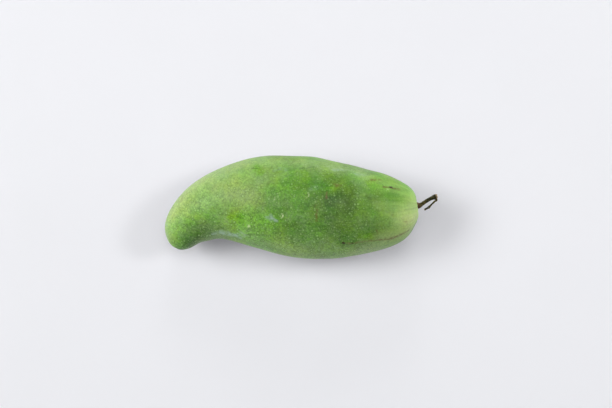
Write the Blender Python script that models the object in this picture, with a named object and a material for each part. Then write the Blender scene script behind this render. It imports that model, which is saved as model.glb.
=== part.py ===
"""A whole green mango of a long, beaked kind, lying on its flatter side.

The fruit is one closed solid: round sections strung along a spine that bends over into
the beak, cut level where the fruit rests. Its stalk stands in a shallow seat at the blunt
end, and a broken side twig folds back from the stalk's end.

The origin is the middle of the flat spot that the fruit rests on. +X points to the stalk,
+Y to the side that the beak bends away from, and +Z up.
"""

import math

import bmesh
import bpy
import numpy as np
from mathutils import Vector

MM = 0.001
COLLECTION = "mango"

# The fruit's spine in millimetres, from the blunt end to the tip of the beak.
SPINE = (
    (85.2, -4.2, 32.4),
    (50.0, -3.0, 31.5),
    (4.0, 0.0, 30.3),
    (-27.0, 3.2, 29.4),
    (-53.5, 0.9, 28.4),
    (-71.5, -7.2, 27.6),
    (-81.6, -18.0, 27.0),
    (-85.4, -30.6, 26.6),
)

# The fruit's sections in millimetres: distance along the spine, half width, half thickness.
SECTIONS = (
    (0.0, 0.0, 0.0),
    (0.3, 7.4, 6.8),
    (5.0, 16.8, 15.2),
    (15.0, 23.4, 21.4),
    (35.0, 30.3, 26.6),
    (58.0, 34.7, 29.6),
    (81.0, 36.6, 30.6),
    (112.0, 33.0, 28.2),
    (139.0, 25.7, 23.0),
    (159.0, 19.9, 18.4),
    (174.5, 14.6, 13.6),
    (183.5, 7.8, 7.4),
    (186.5, 0.0, 0.0),
)

SEGMENTS = 48            # faces round each section
RINGS = 54               # rings of faces from end to end
CURVE_SAMPLES = 600      # points that a smooth curve is measured on
HEADING_REACH = 7.0      # how far either way the spine's heading is taken over

# The stalk's seat, a shallow round recess in the blunt end.
SEAT_RADIUS = 2.8
SEAT_FLOOR_X = 83.8
SEAT_CUTTER_LENGTH = 6.0
SEAT_CUTTER_SIDES = 32

GAP = 0.3                # left between two pieces that touch

# The stalk's and the twig's centre lines in millimetres, each point with its radius.
STALK = (
    (SEAT_FLOOR_X + GAP, 1.0, 32.4, 2.3),
    (85.5, 1.0, 32.4, 2.3),
    (86.6, 1.1, 32.5, 1.85),
    (87.9, 1.8, 32.7, 1.4),
    (90.5, 3.6, 33.2, 1.3),
    (94.1, 5.8, 33.9, 1.3),
    (96.6, 6.9, 34.3, 1.4),
    (98.1, 7.5, 34.6, 1.6),
    (99.3, 8.1, 34.8, 1.3),
)
TWIG = (
    (98.3, 4.7, 34.3, 0.7),
    (97.5, 4.1, 34.1, 0.65),
    (95.2, 1.9, 33.5, 0.6),
    (93.2, -0.2, 33.0, 0.9),
    (92.0, -0.9, 32.6, 0.65),
    (90.3, -1.9, 32.0, 0.7),
)
POINT_SPACING = 0.9      # between the points of a stalk's tube
TUBE_ROUNDNESS = 3       # a curve's bevel resolution, for ten sides

SKIN_GREEN = (0.155, 0.295, 0.075, 1.0)
STALK_OLIVE = (0.070, 0.064, 0.028, 1.0)
TWIG_OLIVE = (0.058, 0.050, 0.026, 1.0)


def clear_scene():
    """Remove every object, so that the file holds only the model."""
    for thing in list(bpy.data.objects):
        bpy.data.objects.remove(thing, do_unlink=True)


def new_collection(name):
    """Return a collection linked to the scene."""
    collection = bpy.data.collections.new(name)
    bpy.context.scene.collection.children.link(collection)
    return collection


def finish(name, colour, roughness):
    """Return a plain material for one piece."""
    material = bpy.data.materials.new(name)
    material.use_nodes = True
    shader = material.node_tree.nodes["Principled BSDF"]
    shader.inputs["Base Color"].default_value = colour
    shader.inputs["Roughness"].default_value = roughness
    shader.inputs["Metallic"].default_value = 0.0
    return material


def smooth_curve(points, before=None, after=None):
    """Return many points on a centripetal Catmull-Rom curve through the given points.

    before and after are the points that the curve would come from and go on to; without
    them it runs straight out of its ends.
    """
    inner = [np.array(p, float) for p in points]
    first = 2 * inner[0] - inner[1] if before is None else np.array(before, float)
    last = 2 * inner[-1] - inner[-2] if after is None else np.array(after, float)
    knots = [first, *inner, last]
    steps = CURVE_SAMPLES // (len(inner) - 1)
    curve = []
    for p0, p1, p2, p3 in zip(knots, knots[1:], knots[2:], knots[3:]):
        t0 = 0.0
        t1 = t0 + math.sqrt(np.linalg.norm(p1 - p0))
        t2 = t1 + math.sqrt(np.linalg.norm(p2 - p1))
        t3 = t2 + math.sqrt(np.linalg.norm(p3 - p2))
        for t in np.linspace(t1, t2, steps, endpoint=False):
            a1 = p0 * (t1 - t) / (t1 - t0) + p1 * (t - t0) / (t1 - t0)
            a2 = p1 * (t2 - t) / (t2 - t1) + p2 * (t - t1) / (t2 - t1)
            a3 = p2 * (t3 - t) / (t3 - t2) + p3 * (t - t2) / (t3 - t2)
            b1 = a1 * (t2 - t) / (t2 - t0) + a2 * (t - t0) / (t2 - t0)
            b2 = a2 * (t3 - t) / (t3 - t1) + a3 * (t - t1) / (t3 - t1)
            curve.append(b1 * (t2 - t) / (t2 - t1) + b2 * (t - t1) / (t2 - t1))
    curve.append(inner[-1])
    return np.array(curve)


def lengths_along(curve):
    """Return each point's distance along the curve from its first point."""
    steps = np.linalg.norm(np.diff(curve, axis=0), axis=1)
    return np.concatenate(([0.0], np.cumsum(steps)))


def at_distance(curve, lengths, distance):
    """Return the point at a distance along a measured curve."""
    return np.array([np.interp(distance, lengths, column) for column in curve.T])


def mirrored(point):
    """Return a section's point across the spine, which keeps the ends round."""
    return (point[0], -point[1], -point[2])


def make_fruit(collection):
    """Model the fruit: a sphere whose rings become the sections along the spine."""
    spine = smooth_curve(SPINE)
    spine_lengths = lengths_along(spine)
    profile = smooth_curve(SECTIONS, mirrored(SECTIONS[1]), mirrored(SECTIONS[-2]))
    profile_lengths = lengths_along(profile)
    spine_scale = spine_lengths[-1] / SECTIONS[-1][0]
    up = Vector((0.0, 0.0, 1.0))

    mesh = bpy.data.meshes.new("fruit")
    bm = bmesh.new()
    bmesh.ops.create_uvsphere(bm, u_segments=SEGMENTS, v_segments=RINGS, radius=1.0)
    for vert in bm.verts:
        from_pole = math.acos(max(-1.0, min(1.0, vert.co.z))) / math.pi
        turn = math.atan2(vert.co.y, vert.co.x)
        along, half_width, half_thickness = at_distance(
            profile, profile_lengths, from_pole * profile_lengths[-1]
        )
        here = along * spine_scale
        centre = Vector(at_distance(spine, spine_lengths, here))
        behind = at_distance(spine, spine_lengths, max(here - HEADING_REACH, 0.0))
        ahead = at_distance(spine, spine_lengths, min(here + HEADING_REACH, spine_lengths[-1]))
        heading = Vector((ahead[0] - behind[0], ahead[1] - behind[1], 0.0)).normalized()
        side = heading.cross(up)
        offset = side * half_width * math.cos(turn) + up * half_thickness * math.sin(turn)
        vert.co = (centre + offset) * MM

    cut = bmesh.ops.bisect_plane(
        bm,
        geom=[*bm.verts, *bm.edges, *bm.faces],
        dist=1e-7,
        plane_co=(0.0, 0.0, 0.0),
        plane_no=(0.0, 0.0, 1.0),
        clear_inner=True,
    )
    rim = [edge for edge in cut["geom_cut"] if isinstance(edge, bmesh.types.BMEdge)]
    bmesh.ops.contextual_create(bm, geom=rim)
    bmesh.ops.recalc_face_normals(bm, faces=bm.faces)
    bm.to_mesh(mesh)
    bm.free()
    mesh.shade_smooth()
    mesh.set_sharp_from_angle(angle=math.radians(40.0))

    fruit = bpy.data.objects.new("fruit", mesh)
    collection.objects.link(fruit)
    mesh.materials.append(finish("skin", SKIN_GREEN, 0.55))
    return fruit


def cut_seat(fruit, cutters):
    """Sink the stalk's seat into the blunt end of the fruit."""
    foot = Vector(STALK[0][:3])
    centre_x = SEAT_FLOOR_X + SEAT_CUTTER_LENGTH / 2
    mesh = bpy.data.meshes.new("seat_cutter")
    bm = bmesh.new()
    bmesh.ops.create_cone(
        bm,
        cap_ends=True,
        segments=SEAT_CUTTER_SIDES,
        radius1=SEAT_RADIUS * MM,
        radius2=SEAT_RADIUS * MM,
        depth=SEAT_CUTTER_LENGTH * MM,
    )
    bm.to_mesh(mesh)
    bm.free()
    cutter = bpy.data.objects.new("seat_cutter", mesh)
    cutter.location = Vector((centre_x, foot.y, foot.z)) * MM
    cutter.rotation_euler = (0.0, math.radians(90.0), 0.0)
    cutter.hide_render = True
    cutter.display_type = "WIRE"
    cutters.objects.link(cutter)

    boolean = fruit.modifiers.new("stalk_seat", "BOOLEAN")
    boolean.operation = "DIFFERENCE"
    boolean.object = cutter


def make_tube(name, points, collection, material):
    """Model a twig: a round tube through points that each have a radius of their own."""
    curve = smooth_curve(points)
    lengths = lengths_along(curve[:, :3])
    count = round(lengths[-1] / POINT_SPACING) + 1
    data = bpy.data.curves.new(name, "CURVE")
    data.dimensions = "3D"
    data.bevel_depth = MM
    data.bevel_resolution = TUBE_ROUNDNESS
    data.use_fill_caps = True
    spline = data.splines.new("POLY")
    spline.points.add(count - 1)
    for point, distance in zip(spline.points, np.linspace(0.0, lengths[-1], count)):
        x, y, z, radius = at_distance(curve, lengths, distance)
        point.co = (x * MM, y * MM, z * MM, 1.0)
        point.radius = radius
    spline.use_smooth = True
    data.materials.append(material)
    tube = bpy.data.objects.new(name, data)
    collection.objects.link(tube)
    return tube


def main():
    """Build the fruit, its stalk and the side twig."""
    clear_scene()
    parts = new_collection(COLLECTION)
    cutters = new_collection("cutters")
    fruit = make_fruit(parts)
    cut_seat(fruit, cutters)
    make_tube("stalk", STALK, parts, finish("stalk_bark", STALK_OLIVE, 0.8))
    make_tube("side_twig", TWIG, parts, finish("twig_bark", TWIG_OLIVE, 0.85))


main()
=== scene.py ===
"""The looks of a whole green mango that lies on a pale table under soft light.

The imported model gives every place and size. The fruit, its stalk and the side twig are each
modelled afresh over their solid, finished with node materials, and ride on the one body.
"""

import logging
import math
from dataclasses import dataclass, field
from enum import Enum
from functools import cached_property
from itertools import accumulate
from typing import Iterable, Sequence

import bmesh
import bpy
import numpy as np
from bmesh.types import BMesh, BMVert
from bpy.types import Material, Mesh, Node, NodeSocket, NodeTree, Object
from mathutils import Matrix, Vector, geometry, noise
from mathutils.bvhtree import BVHTree


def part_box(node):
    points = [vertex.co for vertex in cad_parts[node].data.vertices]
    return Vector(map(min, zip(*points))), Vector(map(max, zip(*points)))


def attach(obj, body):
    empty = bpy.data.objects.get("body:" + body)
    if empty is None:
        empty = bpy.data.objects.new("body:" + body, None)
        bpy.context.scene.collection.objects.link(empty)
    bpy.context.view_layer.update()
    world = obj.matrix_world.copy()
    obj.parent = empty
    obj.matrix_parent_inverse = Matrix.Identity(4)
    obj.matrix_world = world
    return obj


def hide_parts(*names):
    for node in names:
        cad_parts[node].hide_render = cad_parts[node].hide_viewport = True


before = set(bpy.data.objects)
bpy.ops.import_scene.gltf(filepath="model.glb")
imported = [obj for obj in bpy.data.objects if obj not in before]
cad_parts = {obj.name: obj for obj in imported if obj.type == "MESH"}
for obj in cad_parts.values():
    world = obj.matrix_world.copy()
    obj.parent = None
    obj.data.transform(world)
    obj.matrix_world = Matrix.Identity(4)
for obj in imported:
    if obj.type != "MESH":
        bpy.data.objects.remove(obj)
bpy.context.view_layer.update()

MM = 0.001
UP = Vector((0.0, 0.0, 1.0))
BODY = "root"
LOG = logging.getLogger("mango")

Colour = tuple[float, float, float, float]
Number = float | np.ndarray
Pair = tuple[float, float]
Triple = tuple[float, float, float]


# ---- curves and small helpers


def smoothstep(value: float) -> float:
    """Ease a value from 0 to 1, level at both ends."""
    value = min(max(value, 0.0), 1.0)
    return value * value * (3.0 - 2.0 * value)


def bell(distance: Number, reach: float) -> Number:
    """Return 1 at no distance, falling smoothly to nothing past about twice the reach."""
    return np.exp(-((distance / reach) ** 2))


def gap_to_line(places: np.ndarray, start: np.ndarray, end: np.ndarray) -> np.ndarray:
    """Return each row's distance from a straight line between two points, or from one point."""
    along, across = end - start, places - start
    share = np.clip(across @ along / max(along @ along, 1e-12), 0.0, 1.0)
    return np.linalg.norm(across - share[:, None] * along, axis=1)


def turn_between(first: Number, second: float) -> Number:
    """Return the smaller angle between two turns, in degrees."""
    return abs((first - second + 180.0) % 360.0 - 180.0)


class Path:
    """A smooth curve through a few points, read by distance along it.

    Args:
        points: The points that the curve goes through, in metres.
    """

    STEPS = 24

    def __init__(self, points: Sequence[Vector]) -> None:
        """Measure the curve."""
        knots = [2 * points[0] - points[1], *points, 2 * points[-1] - points[-2]]
        line = [points[0]]
        for before, start, end, after in zip(knots, knots[1:], knots[2:], knots[3:]):
            out, back = start + (end - before) / 6, end - (after - start) / 6
            line += geometry.interpolate_bezier(start, out, back, end, self.STEPS)[1:]
        steps = ((b - a).length for a, b in zip(line, line[1:]))
        self.marks = list(accumulate(steps, initial=0.0))
        self.columns = np.array(line).T
        self.length = self.marks[-1]

    def at(self, distance: float) -> Vector:
        """Return the point at a distance from the start, in metres."""
        return Vector([np.interp(distance, self.marks, column) for column in self.columns])

    def heading(self, distance: float, reach: float = 2 * MM) -> Vector:
        """Return the curve's direction there, taken over a short reach either way."""
        ahead = self.at(min(distance + reach, self.length))
        return (ahead - self.at(max(distance - reach, 0.0))).normalized()


class Outline:
    """A turned outline: distances along an axis, each with a radius, as one smooth line.

    Args:
        points: Pairs of distance and radius in millimetres, starting and ending on the axis.
    """

    def __init__(self, points: Sequence[Pair]) -> None:
        """Measure the outline."""
        table = np.array(points) * MM
        steps = np.linalg.norm(np.diff(table, axis=0), axis=1)
        knots = np.concatenate(([0.0], np.cumsum(steps)))
        self.share = knots / knots[-1]
        self.table = table

    def at(self, share: float) -> Pair:
        """Return the distance and the radius at a share of the outline's length."""
        return tuple(float(np.interp(share, self.share, c)) for c in self.table.T)


def in_box(node: str, shares: Sequence[float]) -> Vector:
    """Return the point at these shares of a CAD node's box, from its lowest corner."""
    low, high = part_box(node)
    return Vector(lo + (hi - lo) * s for lo, hi, s in zip(low, high, shares))


def unit_sphere(around: int, rings: int) -> BMesh:
    """Return a new bmesh with a sphere of radius 1 at the origin, its poles on Z."""
    bm = bmesh.new()
    bmesh.ops.create_uvsphere(bm, u_segments=around, v_segments=rings, radius=1.0)
    return bm


def sphere_turn(vert: BMVert) -> Pair:
    """Return a unit sphere's vertex as its share of the way down, and its turn in radians."""
    share = math.acos(min(max(vert.co.z, -1.0), 1.0)) / math.pi
    return share, math.atan2(vert.co.y, vert.co.x)


def finish_mesh(name: str, bm: BMesh, material: Material) -> Object:
    """Turn a finished bmesh into a smooth object with one material.

    Args:
        name: The object's name.
        bm: The mesh, which is freed.
        material: The material that covers it.

    Returns:
        The object, linked to the scene, with its place in its mesh.
    """
    bmesh.ops.recalc_face_normals(bm, faces=bm.faces)
    mesh = bpy.data.meshes.new(name)
    bm.to_mesh(mesh)
    bm.free()
    mesh.shade_smooth()
    mesh.materials.append(material)
    piece = bpy.data.objects.new(name, mesh)
    bpy.context.scene.collection.objects.link(piece)
    return piece


def store(mesh: Mesh, name: str, values: np.ndarray) -> None:
    """Store a number or a vector for each of a mesh's points.

    Args:
        mesh: The mesh.
        name: The new attribute's name.
        values: One number or one vector in each row.
    """
    kind, key = ("FLOAT", "value") if values.ndim == 1 else ("FLOAT_VECTOR", "vector")
    layer = mesh.attributes.new(name, kind, "POINT")
    layer.data.foreach_set(key, values.astype(np.float32).ravel())


def stand_for(piece: Object, node: str) -> None:
    """Let a piece ride on the body in place of its CAD node.

    Args:
        piece: The finished piece.
        node: The CAD node that it stands for.
    """
    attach(piece, BODY)
    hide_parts(node)
    triangles = sum(len(face.vertices) - 2 for face in piece.data.polygons)
    LOG.info("%s stands for %s: %d triangles", piece.name, node, triangles)


# ---- node materials


def dimmed(colour: Colour, share: float) -> Colour:
    """Return a colour dimmed to a share of its light."""
    return tuple(value * share for value in colour[:3]) + (1.0,)


class Nodes:
    """Adds nodes to one tree and wires them as they are made.

    Args:
        tree: The node tree to add to.
    """

    def __init__(self, tree: NodeTree) -> None:
        """Keep the tree."""
        self.tree = tree

    def add(self, kind: str, inputs: dict | None = None, **settings: object) -> Node:
        """Add a node.

        Args:
            kind: The node's type name.
            inputs: What goes into each socket, by name or number: a value or a socket.
            **settings: The node's own settings.

        Returns:
            The new node.
        """
        node = self.tree.nodes.new(kind)
        for name, value in settings.items():
            setattr(node, name, value)
        self.fill(node, inputs or {})
        return node

    def fill(self, node: Node, inputs: dict) -> None:
        """Feed a node's sockets, by name or number, with values or with other sockets."""
        for key, value in inputs.items():
            self.feed(node.inputs[key], value)

    def feed(self, socket: NodeSocket, value: object) -> None:
        """Link a socket to another, or give it a value."""
        if isinstance(value, NodeSocket):
            self.tree.links.new(value, socket)
        else:
            socket.default_value = value

    def math(
        self, operation: str, first: object, second: object = 0.0, clamp: bool = False
    ) -> NodeSocket:
        """Return the result of a Math node."""
        settings = {"operation": operation, "use_clamp": clamp}
        return self.add("ShaderNodeMath", {0: first, 1: second}, **settings).outputs[0]

    def times(self, first: object, second: object) -> NodeSocket:
        """Return the product of two values."""
        return self.math("MULTIPLY", first, second)

    def stretched(self, place: object, factors: Triple) -> NodeSocket:
        """Return a place with each of its coordinates multiplied by a factor."""
        node = self.add("ShaderNodeVectorMath", {0: place, 1: factors}, operation="MULTIPLY")
        return node.outputs["Vector"]

    def length(self, place: object) -> NodeSocket:
        """Return how far a place is from the origin."""
        return self.add("ShaderNodeVectorMath", {0: place}, operation="LENGTH").outputs["Value"]

    def ramp(
        self, value: object, low: object, high: object, start: float = 0.0, end: float = 1.0
    ) -> NodeSocket:
        """Return a value eased from start to end as it goes from low to high."""
        inputs = {"Value": value, "From Min": low, "From Max": high, "To Min": start, "To Max": end}
        node = self.add("ShaderNodeMapRange", inputs, interpolation_type="SMOOTHSTEP")
        return node.outputs["Result"]

    def mix(self, factor: object, first: object, second: object) -> NodeSocket:
        """Return a mix of two colours."""
        inputs = {0: factor, 6: first, 7: second}
        return self.add("ShaderNodeMix", inputs, data_type="RGBA").outputs[2]

    def noise(
        self, place: object, scale: float, detail: float = 3.0, rough: float = 0.5
    ) -> NodeSocket:
        """Return a noise value from 0 to 1 at a place."""
        inputs = {"Vector": place, "Scale": scale, "Detail": detail, "Roughness": rough}
        return self.add("ShaderNodeTexNoise", inputs).outputs["Fac"]

    def bump(self, height: NodeSocket, strength: float, depth: float) -> NodeSocket:
        """Return the normal that a height gives, raised by a depth in millimetres."""
        inputs = {"Height": height, "Strength": strength, "Distance": depth * MM}
        return self.add("ShaderNodeBump", inputs).outputs["Normal"]

    def attribute(self, name: str, output: str = "Fac") -> NodeSocket:
        """Return what one of the mesh's attributes holds."""
        return self.add("ShaderNodeAttribute", attribute_name=name).outputs[output]

    def group(self, tree: NodeTree, **inputs: object) -> dict[str, NodeSocket]:
        """Place a node group and return its outputs by name."""
        outputs = self.add("ShaderNodeGroup", inputs, node_tree=tree).outputs
        return {socket.name: socket for socket in outputs}


class Socket(Enum):
    """The kinds of socket that the node groups have."""

    VALUE = "NodeSocketFloat"
    VECTOR = "NodeSocketVector"


class GroupMaker:
    """Builds each shared shader node group the first time that it is asked for."""

    VECTORS = "Place", "Flow"      # the sockets that carry a vector, and not a value

    def _start(
        self, name: str, inputs: Sequence[str], outputs: Sequence[str]
    ) -> tuple[NodeTree, Nodes, dict[str, NodeSocket], dict[str, NodeSocket]]:
        """Make an empty group with its named sockets.

        Args:
            name: The group's name.
            inputs: The names of its inputs.
            outputs: The names of its outputs.

        Returns:
            The group's tree, its node adder, and its inputs and outputs by name.
        """
        tree = bpy.data.node_groups.new(name, "ShaderNodeTree")
        for way, labels in (("INPUT", inputs), ("OUTPUT", outputs)):
            for label in labels:
                kind = Socket.VECTOR if label in self.VECTORS else Socket.VALUE
                tree.interface.new_socket(label, in_out=way, socket_type=kind.value)
        nodes = Nodes(tree)
        given, result = nodes.add("NodeGroupInput").outputs, nodes.add("NodeGroupOutput").inputs
        return tree, nodes, {n: given[n] for n in inputs}, {n: result[n] for n in outputs}

    @cached_property
    def speckle(self) -> NodeTree:
        """Scattered round dots, each with its own strength, and a ring round each."""
        tree, nodes, given, result = self._start(
            "speckle", ("Place", "Density", "Size", "Thinning"), ("Dots", "Rings")
        )
        where = {"Vector": given["Place"], "Scale": given["Density"]}
        cell = nodes.add("ShaderNodeTexVoronoi", where).outputs
        lot = nodes.add("ShaderNodeSeparateColor", {"Color": cell["Color"]}).outputs
        strength = nodes.ramp(lot["Red"], given["Thinning"], 1.0)
        size = nodes.times(given["Size"], nodes.ramp(lot["Green"], 0.0, 1.0, 0.6, 1.3))
        dot = nodes.ramp(cell["Distance"], nodes.times(size, 0.45), size, 1.0, 0.0)
        halo = nodes.ramp(cell["Distance"], size, nodes.times(size, 2.1), 1.0, 0.0)
        ring = nodes.math("SUBTRACT", halo, dot, clamp=True)
        nodes.feed(result["Dots"], nodes.times(dot, strength))
        nodes.feed(result["Rings"], nodes.times(ring, strength))
        return tree

    @cached_property
    def patches(self) -> NodeTree:
        """Soft blotches where a warped noise is above a level."""
        tree, nodes, given, result = self._start(
            "patches", ("Place", "Scale", "Level", "Softness", "Roughness"), ("Mask",)
        )
        inputs = {
            "Vector": given["Place"],
            "Scale": given["Scale"],
            "Detail": 5.0,
            "Roughness": given["Roughness"],
            "Distortion": 0.35,
        }
        blotch = nodes.add("ShaderNodeTexNoise", inputs).outputs["Fac"]
        low = nodes.math("SUBTRACT", given["Level"], given["Softness"])
        high = nodes.math("ADD", given["Level"], given["Softness"])
        nodes.feed(result["Mask"], nodes.ramp(blotch, low, high))
        return tree

    def blotches(self, nodes: Nodes, place: NodeSocket, **settings: float) -> NodeSocket:
        """Place the patches group with these settings and return its mask."""
        return nodes.group(self.patches, Place=place, **settings)["Mask"]

    @cached_property
    def bark(self) -> NodeTree:
        """Lengthwise bark: its tone, its ridges and its pale flecks."""
        tree, nodes, given, result = self._start("bark", ("Flow",), ("Tone", "Ridges", "Flecks"))
        flow = given["Flow"]
        ridges = nodes.noise(nodes.stretched(flow, (380.0, 1500.0, 1500.0)), 1.0, 4.0, 0.6)
        blotch = nodes.noise(nodes.stretched(flow, (420.0, 420.0, 420.0)), 1.0)
        flecks = nodes.noise(nodes.stretched(flow, (900.0, 1700.0, 1700.0)), 1.0)
        nodes.feed(result["Tone"], nodes.ramp(blotch, 0.40, 0.60))
        nodes.feed(result["Ridges"], ridges)
        nodes.feed(result["Flecks"], nodes.ramp(flecks, 0.58, 0.72, 0.0, 0.8))
        return tree


def new_material(name: str) -> tuple[Material, Nodes, Node]:
    """Make a material with a Principled shader and nothing else.

    Args:
        name: The material's name.

    Returns:
        The material, its node adder and its shader.
    """
    material = bpy.data.materials.new(name)
    material.use_nodes = True
    tree = material.node_tree
    tree.nodes.clear()
    nodes = Nodes(tree)
    shader = nodes.add("ShaderNodeBsdfPrincipled")
    output = nodes.add("ShaderNodeOutputMaterial")
    tree.links.new(shader.outputs["BSDF"], output.inputs["Surface"])
    return material, nodes, shader


# ---- the fruit


class MarkKind(Enum):
    """What a small mark on the skin is."""

    SCAB = "scab"          # a dark dry wound
    RUSSET = "russet"      # a thin reddish rub line
    SCRATCH = "scratch"    # an olive-brown healed scratch
    # rubs are pale bluish places where the wax is polished; some of them are painted glints of
    # light
    RUB_AND_GLINT = "rub"            # a pale bluish place where the wax is polished
    SPECK = "speck"        # a pale raised speck
    FRESH = "fresh"        # a place with no wax, where the green is strong
    SHADE = "shade"        # a small dark green pit

    @property
    def layer(self) -> str:
        """The name of the mesh's attribute that says where these marks are."""
        return f"mark_{self.value}"


@dataclass(frozen=True)
class Mark:
    """One small mark on the skin, a spot or a line.

    Attributes:
        route: Its points on the skin, each a share of the way from the stalk's end to the
            tip and a turn in degrees: 0 on the outer side of the bend, 90 on top.
        width: Its half width in millimetres.
        strength: How strongly it shows, from 0 to 1.
        softness: How much of the half width fades, from 0 to 1.
    """

    route: tuple[Pair, ...]
    width: float
    strength: float = 1.0
    softness: float = 0.6


@dataclass(frozen=True)
class Area:
    """A broad soft-edged area of the skin.

    Attributes:
        along: Its middle, as a share of the way from the stalk's end to the tip.
        turn: Its middle's turn in degrees.
        reach: How far it reaches along, as a share.
        spread: How far it reaches round, in degrees.
    """

    along: float
    turn: float
    reach: float
    spread: float

    def weight(self, along: Number, turn: Number) -> Number:
        """Return how much of the area there is at each place on the skin."""
        return bell(along - self.along, self.reach) * bell(
            turn_between(turn, self.turn), self.spread
        )


@dataclass(frozen=True)
class Tone(Area):
    """An area whose colour differs from the rest, in places by painted light and painted shade.

    Attributes:
        warmth: How much yellower it is.
        depth: How much darker it is.
        wax_and_sheen: How much more pale wax colour lies on it: wax, and in places painted sheen
            and painted reflection; below nothing, painted shade that takes wax away.
        pale: How much creamier it is.
    """

    warmth: float = 0.0
    depth: float = 0.0
    wax_and_sheen: float = 0.0
    pale: float = 0.0


@dataclass(frozen=True)
class Swell(Area):
    """An area that is a little fuller or flatter than the even round form.

    Attributes:
        height: How much fuller it is, in millimetres.
    """

    height: float = 0.0


SWELLS = (
    Swell(0.32, 5, 0.09, 40, -1.1),
    Swell(0.23, 10, 0.04, 30, -0.8),
    Swell(0.52, 5, 0.07, 35, -0.5),
    Swell(0.06, 165, 0.05, 30, -1.6),
    Swell(0.34, 175, 0.06, 30, 0.6),
    Swell(0.80, 170, 0.04, 30, -0.7),
)


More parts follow.
